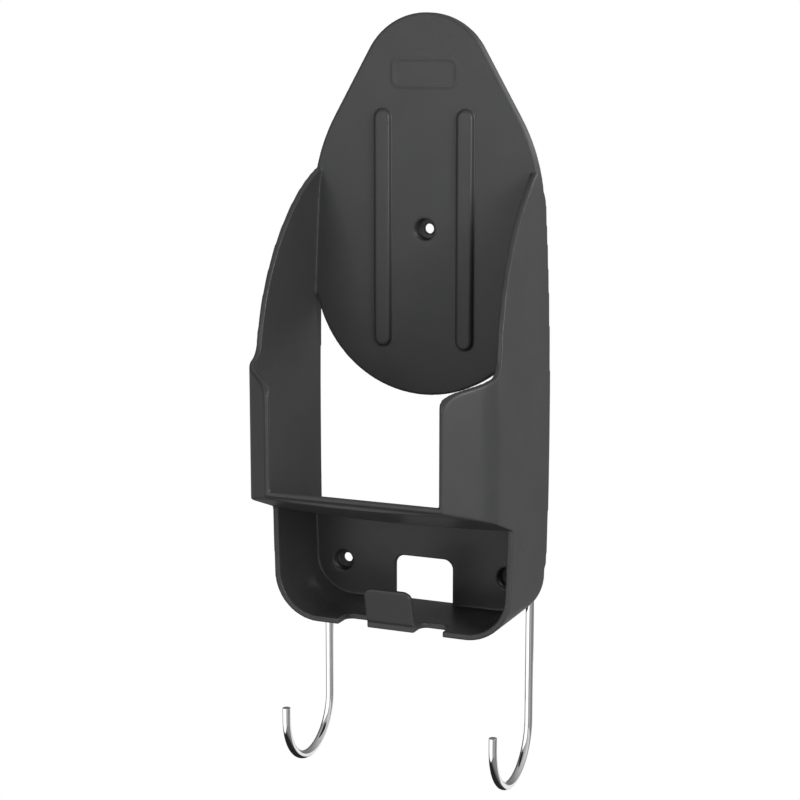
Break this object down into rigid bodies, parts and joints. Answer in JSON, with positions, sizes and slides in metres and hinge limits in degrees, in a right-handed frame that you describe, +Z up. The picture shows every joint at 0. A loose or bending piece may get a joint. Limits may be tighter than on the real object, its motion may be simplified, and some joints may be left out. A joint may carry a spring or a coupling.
{
  "type": "iron and ironing board wall holder",
  "caption": "Dark plastic wall holder with an upright soleplate rest, a front-open iron pocket, a cord tray and swivelling chrome wire hooks below for a board.",
  "frame": {"origin": "axis of the upper wall screw hole, on the wall plane", "axes": "+X across, +Y into the wall, +Z up; the front faces -Y"},
  "size_m": [0.1558, 0.1155, 0.461],
  "materials": {
    "moulded_plastic": "fine satin texture",
    "hook_chrome": "bright plated",
    "clip_steel": "phosphated spring steel"
  },
  "bodies": {
    "holder": {"holder_body": "moulded_plastic"},
    "left_hook_body": {"left_hook": "hook_chrome", "left_clip": "clip_steel"},
    "right_hook_body": {"right_hook": "hook_chrome", "right_clip": "clip_steel"}
  },
  "joints": [
    {"name": "left_hook_swivel", "type": "hinge", "parent": "holder", "child": "left_hook_body", "pos_m": [-0.0677, -0.0037, -0.2], "axis": [0, 0, -1], "range_deg": [-90, 90]},
    {"name": "right_hook_swivel", "type": "hinge", "parent": "holder", "child": "right_hook_body", "pos_m": [0.0677, -0.0037, -0.2], "axis": [0, 0, 1], "range_deg": [-90, 90]}
  ]
}
